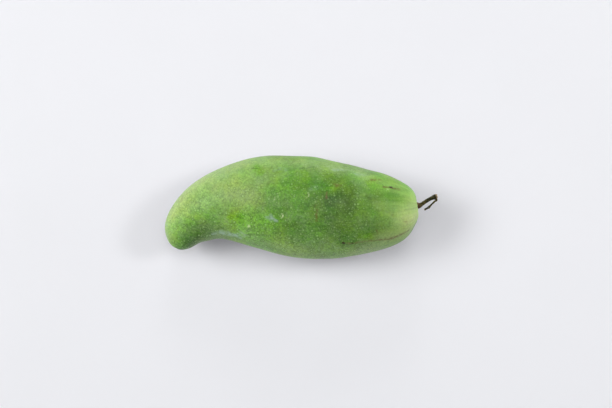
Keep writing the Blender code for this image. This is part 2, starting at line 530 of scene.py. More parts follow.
TONES = (
    # the yellower, paler outer side of the beak, partly painted light, and the frost along its
    # upper edge, partly wax and partly painted highlight
    Tone(0.86, 35, 0.12, 50, warmth=0.65),
    Tone(0.74, 30, 0.1, 34, warmth=0.5),
    Tone(0.63, 22, 0.09, 24, warmth=0.5, wax_and_sheen=0.15),
    Tone(0.78, 28, 0.14, 55, pale=0.17),
    Tone(0.74, 18, 0.14, 20, wax_and_sheen=0.5),
    Tone(0.89, 24, 0.08, 26, wax_and_sheen=0.4),
    Tone(0.7, 75, 0.09, 26, warmth=0.2, wax_and_sheen=0.2),
    Tone(0.66, 60, 0.1, 30, pale=0.1),
    Tone(0.86, 22, 0.05, 22, warmth=0.15, pale=0.28),
    Tone(0.79, 22, 0.05, 20, pale=0.2),
    Tone(0.74, 12, 0.04, 18, pale=0.14, wax_and_sheen=0.2),
    Tone(0.69, 32, 0.05, 18, wax_and_sheen=0.25),
    Tone(0.65, 12, 0.05, 16, wax_and_sheen=0.2),
    # the dark inner side of the beak, partly painted shade
    Tone(0.89, 122, 0.06, 36, depth=0.78),
    Tone(0.81, 128, 0.05, 26, depth=0.7, wax_and_sheen=0.15),
    # the dark middle on top of the fruit, partly painted shade
    Tone(0.31, 112, 0.14, 36, depth=0.55),
    Tone(0.38, 84, 0.1, 26, depth=0.55),
    Tone(0.29, 72, 0.09, 20, depth=0.5),
    Tone(0.45, 130, 0.14, 26, depth=0.08),
    Tone(0.63, 95, 0.06, 20, pale=0.12),
    Tone(0.52, 13, 0.07, 11, depth=0.16, wax_and_sheen=-0.5),
    Tone(0.52, 8, 0.035, 14, depth=0.25),
    Tone(0.45, 64, 0.12, 16, wax_and_sheen=-0.34),
    Tone(0.36, 66, 0.05, 16, depth=0.18, wax_and_sheen=-0.15),
    Tone(0.2, 82, 0.05, 14, depth=0.34, wax_and_sheen=0.12),
    Tone(0.15, 80, 0.03, 14, depth=0.28),
    Tone(0.6, 32, 0.06, 18, pale=0.1),
    Tone(0.6, 60, 0.06, 14, pale=0.08, wax_and_sheen=0.08),
    # the pale shoulder round the stalk, with its yellow rays; its cream is partly painted light
    Tone(0.15, 42, 0.05, 12, warmth=0.55, depth=0.1),
    # painted shade with less wax, which dims the low lamps' gloss on the shoulder's upper side
    Tone(0.16, 52, 0.05, 14, depth=0.35, wax_and_sheen=-0.45),
    Tone(0.22, 55, 0.05, 20, depth=0.14, pale=0.05),
    Tone(0.1, 62, 0.05, 18, depth=0.22, wax_and_sheen=-0.4),
    Tone(0.09, 48, 0.04, 18, warmth=0.6),
    Tone(0.055, 95, 0.05, 75, warmth=0.6, wax_and_sheen=0.2),
    Tone(0.045, 98, 0.05, 60, pale=0.74),
    Tone(0.09, 112, 0.05, 28, pale=0.35),
    Tone(0.08, 47, 0.022, 11, warmth=0.9),
    Tone(0.1, 112, 0.05, 20, warmth=0.85),
    Tone(0.12, 92, 0.05, 20, warmth=0.2, pale=0.18),
    Tone(0.15, 138, 0.06, 16, pale=0.34),
    Tone(0.14, 50, 0.05, 16, wax_and_sheen=-0.5, warmth=0.25),
    Tone(0.09, 32, 0.04, 16, wax_and_sheen=-0.45, warmth=0.35),
    Tone(0.08, 112, 0.03, 18, warmth=0.45, pale=0.1),
    Tone(0.9, 110, 0.04, 16, wax_and_sheen=0.18),
    Tone(0.09, 38, 0.04, 16, pale=-0.12),
    Tone(0.13, 72, 0.07, 13, wax_and_sheen=0.42),
    Tone(0.1, 36, 0.04, 14, depth=0.12),
    Tone(0.5, 30, 0.05, 10, pale=0.05, wax_and_sheen=0.22),
    Tone(0.44, 28, 0.05, 10, pale=0.08, wax_and_sheen=0.25),
    Tone(0.41, 16, 0.07, 11, depth=0.12),
    Tone(0.17, 32, 0.07, 10, depth=0.08),
    Tone(0.63, 34, 0.04, 12, wax_and_sheen=-0.3),
    Tone(0.08, 92, 0.03, 14, warmth=0.3),
    Tone(0.15, 138, 0.05, 14, warmth=0.2),
    Tone(0.62, 120, 0.07, 24, warmth=0.12),
    # wax on the flanks; on the lower side it is partly painted reflection of the pale table and
    # painted sheen
    Tone(0.33, 30, 0.07, 9, wax_and_sheen=0.75),
    Tone(0.25, 30, 0.04, 9, wax_and_sheen=0.45),
    Tone(0.5, 22, 0.12, 12, warmth=0.3, wax_and_sheen=0.2),
    # on the lower side: painted reflection of the table and painted sheen, laid as wax
    Tone(0.42, 155, 0.18, 16, pale=0.1, wax_and_sheen=0.4),
    Tone(0.17, 155, 0.08, 20, wax_and_sheen=0.45),
    Tone(0.76, 148, 0.05, 12, wax_and_sheen=0.45),
    Tone(0.22, 107, 0.05, 14, wax_and_sheen=0.32),
    Tone(0.21, 160, 0.07, 14, pale=0.25, wax_and_sheen=0.4),
    Tone(0.29, 156, 0.06, 14, wax_and_sheen=0.25),
    Tone(0.4, 132, 0.15, 14, wax_and_sheen=0.2),
    Tone(0.37, 108, 0.14, 14, wax_and_sheen=0.16),
    Tone(0.74, 152, 0.06, 20, wax_and_sheen=0.25),
    Tone(0.64, 145, 0.06, 18, wax_and_sheen=0.25),
    Tone(0.76, 112, 0.06, 20, wax_and_sheen=0.15),
    Tone(0.435, 45, 0.04, 14, wax_and_sheen=0.22),
    # the yellower underside
    Tone(0.45, -90, 0.3, 60, warmth=0.35),
)

MARKS: dict[MarkKind, tuple[Mark, ...]] = {
    # the dry scabs on the flank and by the stalk, and the scars at the tip
    MarkKind.SCAB: (
        Mark(((0.305, 137), (0.3, 138)), 1.35, 1.0, 0.5),
        Mark(((0.27, 139),), 1.05, 0.8, 0.7),
        Mark(((0.155, 45), (0.15, 44)), 1.3, 1.0, 0.7),
        Mark(((0.97, 145), (0.98, 130)), 1.3, 0.75, 0.9),
        Mark(((0.995, 90),), 1.5, 0.8, 0.8),
    ),
    # the long rub line that runs from the scabs to the stalk, and thin ones near it
    MarkKind.RUSSET: (
        Mark(((0.3, 138), (0.26, 139), (0.23, 137), (0.18, 139)), 1.3, 0.6, 1.0),
        Mark(((0.18, 139), (0.15, 141), (0.12, 139), (0.08, 138)), 1.5, 0.9, 1.0),
        Mark(((0.15, 143), (0.13, 143)), 1.0, 0.5, 0.9),
        Mark(((0.11, 109), (0.09, 110)), 0.8, 0.5, 0.9),
        Mark(((0.19, 121), (0.185, 125)), 0.9, 0.7, 0.9),
        Mark(((0.37, 69), (0.37, 76)), 1.2, 0.6, 0.9),
    ),
    # healed scratches
    MarkKind.SCRATCH: (
        Mark(((0.125, 43), (0.165, 46), (0.18, 49)), 1.3, 1.0, 0.9),
        Mark(((0.22, 40), (0.2, 37), (0.19, 34)), 1.7, 1.0, 0.9),
        Mark(((0.34, 60), (0.33, 58)), 2.0, 0.85, 1.0),
        Mark(((0.35, 56), (0.32, 58)), 1.2, 0.6, 0.9),
        Mark(((0.4, 93), (0.4, 107)), 1.2, 0.95, 0.9),
        Mark(((0.405, 86), (0.405, 93)), 0.9, 0.5, 0.9),
        Mark(((0.14, 96), (0.14, 99)), 0.9, 0.55, 0.9),
    ),
    # bluish rubs, and painted glints where the skin catches the light
    MarkKind.RUB_AND_GLINT: (
        Mark(((0.555, 110), (0.535, 109)), 2.7, 1.0, 0.9),
        Mark(((0.8, 143), (0.76, 146), (0.71, 148), (0.68, 149)), 3.4, 1.0, 0.8),
        Mark(((0.555, 42), (0.525, 40)), 2.6, 0.35, 1.0),
        Mark(((0.28, 35), (0.24, 31)), 2.4, 0.6, 1.0),
        Mark(((0.35, 33), (0.32, 31)), 3.2, 0.6, 1.0),
        Mark(((0.62, 28),), 2.2, 0.45, 1.0),
        Mark(((0.43, 68), (0.4, 62)), 4.0, 0.25, 1.0),
        Mark(((0.67, 138), (0.66, 144)), 2.8, 0.6, 1.0),
        Mark(((0.94, 28), (0.9, 24)), 3.0, 0.6, 1.0),
    ),
    # pale raised specks, most of them small hooks
    MarkKind.SPECK: (
        Mark(((0.515, 102), (0.51, 105), (0.515, 108)), 0.8, 0.95, 0.8),
        Mark(((0.435, 71), (0.43, 74), (0.435, 77)), 0.8, 0.55, 0.9),
        Mark(((0.405, 82),), 0.9, 0.4, 0.9),
        Mark(((0.545, 81), (0.545, 85)), 0.8, 0.5, 0.9),
        Mark(((0.535, 79), (0.53, 83)), 0.8, 0.5, 0.9),
        Mark(((0.635, 124), (0.635, 127)), 0.8, 0.8, 0.8),
        Mark(((0.675, 136), (0.665, 143)), 0.8, 0.25, 0.9),
        Mark(((0.66, 139), (0.655, 147)), 0.75, 0.25, 0.9),
        Mark(((0.165, 51), (0.16, 50)), 1.0, 0.4, 0.9),
    ),
    # places with no wax
    MarkKind.FRESH: (
        Mark(((0.69, 112), (0.67, 114)), 6.6, 0.9, 1.0),
        Mark(((0.17, 50), (0.22, 47)), 4.6, 0.65, 1.0),
        Mark(((0.34, 62), (0.37, 60)), 5.0, 0.55, 1.0),
        Mark(((0.21, 131), (0.25, 132)), 5.0, 0.5, 1.0),
        Mark(((0.61, 33), (0.6, 46)), 5.0, 0.7, 1.0),
        Mark(((0.45, 42), (0.44, 50)), 4.5, 0.5, 1.0),
        Mark(((0.55, 10), (0.49, 12)), 7.0, 0.4, 1.0),
        Mark(((0.39, 30), (0.37, 33)), 3.0, 0.3, 1.0),
        Mark(((0.625, 127),), 1.7, 0.7, 1.0),
    ),
    # small dark pits
    MarkKind.SHADE: (
        Mark(((0.62, 37), (0.61, 38)), 1.0, 0.6, 0.9),
        Mark(((0.545, 41),), 1.1, 0.6, 0.9),
        Mark(((0.47, 37), (0.45, 36)), 1.0, 0.6, 0.9),
        Mark(((0.44, 35), (0.42, 33)), 1.0, 0.5, 0.9),
        Mark(((0.625, 128),), 1.1, 0.6, 0.9),
    ),
}


@dataclass(frozen=True)
class SkinFinish:
    """The colours and gloss of the waxy green skin."""

    deep: Colour = (0.090, 0.232, 0.016, 1.0)
    bright: Colour = (0.178, 0.392, 0.028, 1.0)
    warm: Colour = (0.335, 0.540, 0.110, 1.0)
    cream: Colour = (0.560, 0.670, 0.270, 1.0)
    dark: Colour = (0.036, 0.100, 0.010, 1.0)
    # the wax's pale green, also laid as painted sheen and painted reflection
    wax: Colour = (0.340, 0.470, 0.240, 1.0)
    dot: Colour = (0.350, 0.560, 0.200, 1.0)
    scab: Colour = (0.028, 0.006, 0.004, 1.0)
    russet: Colour = (0.165, 0.092, 0.040, 1.0)
    scratch: Colour = (0.120, 0.105, 0.022, 1.0)
    # the rubs' pale blue, also used for painted glints of light
    rub: Colour = (0.270, 0.400, 0.290, 1.0)
    speck: Colour = (0.500, 0.620, 0.300, 1.0)
    fresh: Colour = (0.150, 0.360, 0.010, 1.0)
    shade: Colour = (0.040, 0.110, 0.014, 1.0)
    roughness: float = 0.44
    wax_roughness: float = 0.60
    sheen: float = 0.10
    sheen_roughness: float = 0.35
    sheen_tint: Colour = (0.88, 1.0, 0.70, 1.0)
    specular: float = 0.33
    bump_depth: float = 0.16       # in millimetres

    def of(self, kind: MarkKind) -> Colour:
        """Return the colour of a kind of mark."""
        return getattr(self, kind.value)


class SkinShader:
    """The skin's material: mottled greens, wax, streaks, pale dots and marks, with painted light,
    shade, sheen and glints among its tones and rubs.

    Args:
        groups: The shared node groups.
        finish: The skin's colours and gloss.
    """

    def __init__(self, groups: GroupMaker, finish: SkinFinish) -> None:
        """Lay each layer over the last, and wire up the shader."""
        self.groups, self.finish = groups, finish
        self.material, self.nodes, shader = new_material("mango_skin")
        nodes = self.nodes
        self.place = nodes.add("ShaderNodeTexCoord").outputs["Object"]
        self.texture = nodes.attribute("coarse")
        self._lay_greens()
        wax = self._lay_wax()
        self._lay_streaks()
        height = self._lay_dots()
        raised = self._lay_marks()
        grain = nodes.noise(self.place, 900.0, rough=0.55)
        rough = nodes.ramp(wax, 0.0, 1.0, finish.roughness, finish.wax_roughness)
        height = nodes.math("ADD", nodes.times(grain, 0.55), height)
        inputs = {
            "Base Color": self.colour,
            "Roughness": nodes.math("ADD", rough, nodes.ramp(grain, 0.3, 0.7, -0.04, 0.05)),
            "Normal": nodes.bump(nodes.math("ADD", height, raised), 0.5, finish.bump_depth),
            "Sheen Weight": finish.sheen,
            "Sheen Roughness": finish.sheen_roughness,
            "Sheen Tint": finish.sheen_tint,
            "Specular IOR Level": finish.specular,
        }
        nodes.fill(shader, inputs)

    def _lay(self, mask: NodeSocket, colour: Colour, strength: float = 1.0) -> None:
        """Lay a colour over what is there, as far as a mask and a strength say."""
        if strength < 1.0:
            mask = self.nodes.times(mask, strength)
        self.colour = self.nodes.mix(mask, self.colour, colour)

    def _lay_greens(self) -> None:
        """Start with the green under the wax, from deep to bright and yellow, with broad tones that
        are in places painted light and painted shade.
        """
        nodes, finish, place, texture = self.nodes, self.finish, self.place, self.texture
        blotches = self.groups.blotches
        broad = blotches(nodes, place, Scale=48.0, Level=0.5, Softness=0.16, Roughness=0.5)
        small = blotches(nodes, place, Scale=210.0, Level=0.52, Softness=0.13, Roughness=0.6)
        drift = nodes.noise(place, 95.0, rough=0.55)
        self.colour = nodes.mix(broad, finish.deep, finish.bright)
        warmth, depth = nodes.attribute("warmth"), nodes.attribute("depth")
        self._lay(nodes.times(warmth, nodes.ramp(drift, 0.28, 0.66, 0.55, 1.0)), finish.warm)
        self._lay(nodes.times(depth, nodes.ramp(drift, 0.30, 0.70, 1.0, 0.6)), finish.dark)
        self._lay(nodes.times(small, texture), finish.dark, 0.24)
        self._lay(nodes.attribute("pale"), finish.cream)
        self._lay(nodes.attribute(MarkKind.FRESH.layer), finish.fresh)
        hue = nodes.math(
            "ADD",
            nodes.ramp(nodes.noise(place, 55.0), 0.34, 0.66, 0.487, 0.513),
            nodes.ramp(nodes.noise(place, 260.0, rough=0.6), 0.30, 0.70, -0.003, 0.003),
        )
        grain = nodes.noise(place, 640.0, detail=4.0, rough=0.7)
        lightness = nodes.times(nodes.ramp(grain, 0.32, 0.68, -0.28, 0.30), texture)
        lightness = nodes.math("ADD", lightness, 1.0)
        inputs = {"Hue": hue, "Saturation": 1.0, "Value": lightness, "Color": self.colour}
        self.colour = nodes.add("ShaderNodeHueSaturation", inputs).outputs["Color"]

    def _lay_wax(self) -> NodeSocket:
        """Lay the pale powdery wax over the green, in places painted sheen and painted reflection,
        and return how much there is.
        """
        nodes, place = self.nodes, self.place
        haze = self.groups.blotches(
            nodes, place, Scale=80.0, Level=0.54, Softness=0.12, Roughness=0.65
        )
        powder = nodes.noise(place, 430.0, detail=4.0, rough=0.65)
        powder = nodes.ramp(powder, 0.36, 0.66, 0.40, 1.0)
        amount = nodes.math("ADD", nodes.attribute("wax_and_sheen"), nodes.times(haze, 0.34))
        fresh = nodes.attribute(MarkKind.FRESH.layer)
        amount = nodes.math("SUBTRACT", amount, nodes.times(fresh, 0.6))
        wax = nodes.math("MULTIPLY", amount, powder, clamp=True)
        self._lay(wax, self.finish.wax, 0.72)
        return wax

    def _lay_streaks(self) -> None:
        """Draw the pale and dark streaks that spread out from the stalk."""
        nodes = self.nodes
        flow = nodes.stretched(nodes.attribute("flow", "Vector"), (36.0, 250.0, 250.0))
        streak = nodes.noise(flow, 1.0, rough=0.55)
        near = nodes.ramp(nodes.attribute("along"), 0.05, 0.24, 1.0, 0.08)
        self._lay(nodes.times(nodes.ramp(streak, 0.42, 0.74), near), self.finish.warm, 0.5)
        dark = nodes.ramp(streak, 0.28, 0.52, 1.0, 0.0)
        self._lay(nodes.times(dark, near), self.finish.dark, 0.22)

    def _lay_dots(self) -> NodeSocket:
        """Scatter the tiny pale dots of the skin, and return their height."""
        nodes, speckle = self.nodes, self.groups.speckle
        large, fine = (
            nodes.group(speckle, Place=self.place, Density=density, Size=size, Thinning=0.0)
            for density, size in ((500.0, 0.40), (760.0, 0.46))
        )
        most = (
            nodes.math("MAXIMUM", large[name], nodes.times(fine[name], 0.6))
            for name in ("Dots", "Rings")
        )
        dots, rings = (nodes.times(mask, self.texture) for mask in most)
        self._lay(rings, self.finish.dark, 0.42)
        self._lay(dots, self.finish.dot, 0.36)
        return dots

    def _lay_marks(self) -> NodeSocket:
        """Colour the scabs, scratches, rubs and specks, some rubs being painted glints, and return
        how much they stand up.
        """
        nodes = self.nodes
        patchy = nodes.ramp(nodes.noise(self.place, 420.0, rough=0.6), 0.34, 0.60, 0.15, 1.0)
        raised = 0.0
        for kind in (kind for kind in reversed(MarkKind) if kind is not MarkKind.FRESH):
            mask = nodes.attribute(kind.layer)
            if kind in (MarkKind.RUSSET, MarkKind.SCRATCH, MarkKind.RUB_AND_GLINT):
                mask = nodes.times(mask, patchy)
            self._lay(mask, self.finish.of(kind))
            if kind in (MarkKind.SCAB, MarkKind.SPECK):
                raised = nodes.math("ADD", mask, raised)
        return raised


@dataclass(frozen=True)
class Ring:
    """Where one ring of the skin is cast from, and how its spokes stand."""

    centre: Vector
    heading: Vector
    side: Vector
    lift: Vector
    lean: float

    def spoke(self, turn: float) -> Vector:
        """Return the direction from the centre to the skin at a turn in radians."""
        across = self.side * math.cos(turn) + self.lift * math.sin(turn)
        return across * math.cos(self.lean) - self.heading * math.sin(self.lean)


@dataclass
class Fruit:
    """The fruit: skin over the CAD solid, with its hollow, lumps, marks and finish."""

    groups: GroupMaker
    finish: SkinFinish = field(default_factory=SkinFinish)
    around: int = 320
    rings: int = 288
    node: str = "fruit"
    # The bent line inside the fruit that the skin is cast from, as shares of the fruit's box.
    core: tuple[Triple, ...] = (
        (0.870, 0.455, 0.520),
        (0.700, 0.480, 0.505),
        (0.550, 0.499, 0.496),
        (0.379, 0.542, 0.481),
        (0.232, 0.511, 0.465),
        (0.140, 0.405, 0.452),
        (0.088, 0.280, 0.445),
        (0.066, 0.190, 0.440),
    )
    blunt_share: float = 0.165     # of the rings lie round the blunt end
    tip_share: float = 0.075       # and round the tip of the beak
    easing: int = 14               # rounds of smoothing over the whole skin
    foot_easing: int = 120         # and before them near the stalk's foot
    near_foot: float = 5.0         # in millimetres, as all below that name no other unit
    foot_slice: float = 0.2
    heading_reach: float = 7.0
    lump_height: float = 0.45
    lump_size: float = 34.0
    ripple_height: float = 0.14
    ripple_size: float = 12.0
    dimple_height: float = 0.045
    dimple_size: float = 4.2
    settle: float = 5.0            # the height over the table at which lumps are full
    hollow_depth: float = 1.7
    hollow_reach: float = 4.4
    hollow_end: float = 16.0
    rim_height: float = 0.5
    rim_radius: float = 9.0
    rim_spread: float = 4.0
    pucker_height: float = 0.20
    pucker_radius: float = 5.5
    pucker_spread: float = 3.2
    dent_depth: float = 0.5
    dent_reach: float = 1.6
    scab_height: float = 0.14
    pucker_count: int = 9
    pucker_wander: float = 1.3     # in radians
    scab_reach: float = 2.5        # in half widths of the mark
    torn: Pair = (650.0, 0.8)      # how finely the marks' outlines wander, and how far
    frayed: Pair = (170.0, 3.2)    # and those of the soft-edged marks
    # How coarse the skin's texture is, at shares of the length and at degrees from one side.
    coarse_along: tuple[Pair, ...] = ((0.05, 0.22), (0.28, 1.0), (0.72, 1.0), (0.90, 1.25))
    coarse_round: tuple[Pair, ...] = (
        (0, 1.45), (30, 1.25), (60, 1.0), (100, 0.78), (130, 0.72), (180, 0.9)
    )
    coarse_side: float = 150.0
    flow_reach: float = 0.2        # the share of the length over which it leaves the stalk
    flow_size: Pair = (0.19, 0.03)  # the length and the radius that the flow has, in metres
    grid: dict[tuple[int, int], BMVert] = field(default_factory=dict, init=False)

    def build(self) -> Object:
        """Model and dress the fruit.

        Returns:
            The finished piece, riding on the body.
        """
        bm = unit_sphere(self.around, self.rings)
        self._cast(bm)
        foot = self._foot()
        near = [v for v in bm.verts if (v.co - foot).length < self.near_foot * MM]
        self._ease(bm, near, self.foot_easing)
        self._ease(bm, bm.verts, self.easing)
        self._raise_relief(bm, foot)
        self._raise_scabs(bm)
        for vert in bm.verts:
            vert.co.z = max(vert.co.z, 0.0)
        self._draw_marks(bm)
        piece = finish_mesh("fruit_skin", bm, SkinShader(self.groups, self.finish).material)
        self._paint(piece.data, foot)
        stand_for(piece, self.node)
        return piece

    def _guide(self) -> BVHTree:
        """Return the CAD solid, smoothed, to cast the skin onto."""
        bm = bmesh.new()
        bm.from_mesh(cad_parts[self.node].data)
        bmesh.ops.remove_doubles(bm, verts=bm.verts, dist=1e-6)
        bmesh.ops.join_triangles(
            bm, faces=bm.faces, angle_face_threshold=0.7, angle_shape_threshold=1.2
        )
        bmesh.ops.subdivide_edges(bm, edges=bm.edges, cuts=1, smooth=1.0, use_grid_fill=True)
        tree = BVHTree.FromBMesh(bm)
        bm.free()
        return tree

    def _ring(self, path: Path, share: float) -> Ring:
        """Return the ring at a share of the way from the stalk's end to the tip.

        Args:
            path: The bent line inside the fruit.
            share: The share, from 0 to 1.
        """
        body = 1.0 - self.blunt_share - self.tip_share
        place = min(max((share - self.blunt_share) / body, 0.0), 1.0) * path.length
        lean = 0.0
        if share < self.blunt_share:
            lean = (1.0 - share / self.blunt_share) * math.pi / 2
        elif share > 1.0 - self.tip_share:
            lean = -(1.0 - (1.0 - share) / self.tip_share) * math.pi / 2
        heading = path.heading(place, self.heading_reach * MM)
        side = heading.cross(UP).normalized()
        return Ring(path.at(place), heading, side, side.cross(heading).normalized(), lean)

    def _cast(self, bm: BMesh) -> None:
        """Cast every point of a sphere outwards onto the CAD solid, ring by ring.

        Args:
            bm: A sphere of radius 1, which becomes the skin.
        """
        guide = self._guide()
        path = Path([in_box(self.node, shares) for shares in self.core])
        rings = [self._ring(path, number / self.rings) for number in range(self.rings + 1)]
        for name in ("along", "turn", *(kind.layer for kind in MarkKind)):
            bm.verts.layers.float.new(name)
        along, turn = (bm.verts.layers.float[name] for name in ("along", "turn"))
        for vert in bm.verts:
            share, angle = sphere_turn(vert)
            number = round(share * self.rings)
            ring, spoke = rings[number], rings[number].spoke(angle)
            hit = guide.ray_cast(ring.centre, spoke)[0]
            vert.co = hit if hit is not None else ring.centre + spoke * MM
            vert[along], vert[turn] = number / self.rings, math.degrees(angle)
            self.grid[number, round(angle / math.tau * self.around) % self.around] = vert

    def _on_skin(self, along: float, turn: float) -> Vector:
        """Return the place on the skin at a share of its length and a turn in degrees.

        Args:
            along: The share, from 0 to 1.
            turn: The turn.
        """
        row, column = along * self.rings, turn / 360.0 * self.around
        first, left = math.floor(row), math.floor(column)
        ends = [
            self.grid[first + step, left % self.around].co.lerp(
                self.grid[first + step, (left + 1) % self.around].co, column - left
            )
            for step in (0, 1)
        ]
        return ends[0].lerp(ends[1], row - first)

    def _foot(self) -> Vector:
        """Return the middle of the stalk's foot."""
        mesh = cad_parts["stalk"].data
        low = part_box("stalk")[0]
        foot = [v.co for v in mesh.vertices if v.co.x < low.x + self.foot_slice * MM]
        return sum(foot, Vector()) / len(foot)

    def _ease(self, bm: BMesh, verts: Iterable, times: int) -> None:
        """Smooth some of the skin's points a number of times.

        Args:
            bm: The skin.
            verts: Its points to smooth.
            times: How many times.
        """
        verts = list(verts)
        for _ in range(times):
            bmesh.ops.smooth_vert(
                bm, verts=verts, factor=0.5, use_axis_x=True, use_axis_y=True, use_axis_z=True
            )

    def _raise_relief(self, bm: BMesh, foot: Vector) -> None:
        """Give the skin its lumps and dimples, the hollow at the stalk and the tip's dent.

        Args:
            bm: The skin.
            foot: The middle of the stalk's foot.
        """
        bm.normal_update()
        along, turn = (bm.verts.layers.float[name] for name in ("along", "turn"))
        tip = next(v.co.copy() for (row, _), v in self.grid.items() if row == self.rings)
        for vert in bm.verts:
            place = vert.co / MM
            height = self.lump_height * noise.noise(place / self.lump_size)
            height += self.ripple_height * noise.noise(place / self.ripple_size + Vector((7, 3, 5)))
            height += self.dimple_height * noise.noise(place / self.dimple_size)
            height *= smoothstep(vert.co.z / (self.settle * MM))
            spot = vert[along], vert[turn]
            height += sum(swell.height * swell.weight(*spot) for swell in SWELLS)
            if vert.co.x > foot.x - self.hollow_end * MM:
                height += self._hollow(vert.co - foot)
            height -= self.dent_depth * bell((vert.co - tip).length / MM, self.dent_reach)
            vert.co += vert.normal * height * MM

    def _hollow(self, away: Vector) -> float:
        """Return the skin's height in millimetres round the stalk, from its foot's middle."""
        gap = math.hypot(away.y, away.z) / MM
        angle = math.atan2(away.z, away.y)
        height = self.rim_height * bell(gap - self.rim_radius, self.rim_spread)
        height -= self.hollow_depth * bell(gap, self.hollow_reach)
        wander = noise.noise(Vector((math.cos(angle), math.sin(angle), 0.0)) * 1.7)
        fold = math.cos(self.pucker_count * (angle + self.pucker_wander * wander))
        pucker = bell(gap - self.pucker_radius, self.pucker_spread)
        return height + self.pucker_height * fold * pucker

    def _raise_scabs(self, bm: BMesh) -> None:
        """Raise the dry scabs and the pale specks a little.

        Args:
            bm: The skin.
        """
        bm.normal_update()
        for mark in (*MARKS[MarkKind.SCAB], *MARKS[MarkKind.SPECK]):
            middle = self._on_skin(*mark.route[0])
            for vert in bm.verts:
                gap = (vert.co - middle).length / MM
                if gap < self.scab_reach * mark.width:
                    rise = self.scab_height * mark.strength * bell(gap, mark.width)
                    vert.co += vert.normal * rise * MM

    def _draw_marks(self, bm: BMesh) -> None:
        """Store how strongly each kind of mark shows at each point, with torn outlines.

        Args:
            bm: The skin.
        """
        places = np.array([vert.co for vert in bm.verts])
        torn, frayed = (places + self._jitter(places, *how) for how in (self.torn, self.frayed))
        for kind in MarkKind:
            layer = bm.verts.layers.float[kind.layer]
            where = frayed if kind in (MarkKind.RUB_AND_GLINT, MarkKind.FRESH) else torn
            shown = np.zeros(len(places))
            for mark in MARKS[kind]:
                points = [np.array(self._on_skin(*stop)) for stop in mark.route]
                lines = zip(points, points[1:] or points)
                gap = np.min([gap_to_line(where, start, end) for start, end in lines], axis=0)
                share = np.clip((1.0 - gap / (mark.width * MM)) / mark.softness, 0.0, 1.0)
                shown = np.maximum(shown, mark.strength * share * share * (3.0 - 2.0 * share))
            for vert, value in zip(bm.verts, shown):
                vert[layer] = value

    def _jitter(self, places: np.ndarray, scale: float, reach: float) -> np.ndarray:
        """Return a noise that moves each place about.

        Args:
            places: The places, one in each row.
            scale: The noise's scale.
            reach: How far it moves them at most, in millimetres.

        Returns:
            The moves.
        """
        shifts = Vector((0, 0, 0)), Vector((31, 17, 5)), Vector((9, 43, 27))
        moves = [[noise.noise(Vector(row) * scale + shift) for shift in shifts] for row in places]
        return np.array(moves) * reach * MM

    def _paint(self, mesh: Mesh, foot: Vector) -> None:
        """Store the broad tones, in places painted light and painted shade, and the lengthwise flow
        of the skin on its points.

        Args:
            mesh: The skin's mesh.
            foot: The middle of the stalk's foot, where the flow comes together.
        """
        count = len(mesh.vertices)
        along, turn = np.zeros(count, np.float32), np.zeros(count, np.float32)
        mesh.attributes["along"].data.foreach_get("value", along)
        mesh.attributes["turn"].data.foreach_get("value", turn)
        for name in ("warmth", "depth", "wax_and_sheen", "pale"):
            sums = sum(getattr(tone, name) * tone.weight(along, turn) for tone in TONES)
            store(mesh, name, np.clip(sums, -0.5, 1.0))
        places = np.zeros(3 * count, np.float32)
        mesh.vertices.foreach_get("co", places)
        away = places.reshape(-1, 3)[:, 1:] - np.array(foot.yz)
        away /= np.linalg.norm(away, axis=1)[:, None]
        share = np.clip(along / self.flow_reach, 0.0, 1.0)[:, None]
        angle = np.radians(turn)
        across = away * (1.0 - share) + np.stack((np.cos(angle), np.sin(angle)), axis=1) * share
        length, radius = self.flow_size
        store(mesh, "flow", np.concatenate((along[:, None] * length, across * radius), axis=1))
        coarse = np.interp(along, *np.transpose(self.coarse_along))
        coarse *= np.interp(turn_between(turn, self.coarse_side), *np.transpose(self.coarse_round))
        store(mesh, "coarse", coarse)
        mesh.attributes.remove(mesh.attributes["turn"])


# ---- the stalk and its twig


@dataclass(frozen=True)
class BarkFinish:
    """The colours of green-brown twig bark and of its torn pale wood."""

    deep: Colour = (0.014, 0.015, 0.003, 1.0)
    bark: Colour = (0.078, 0.066, 0.014, 1.0)
    light: Colour = (0.270, 0.220, 0.090, 1.0)
    brown: Colour = (0.180, 0.085, 0.060, 1.0)
    wood: Colour = (0.600, 0.450, 0.260, 1.0)
    roughness: Pair = (0.76, 0.60)  # in the bark's furrows and on its ridges
    specular: float = 0.25
    bump_depth: float = 0.12        # in millimetres


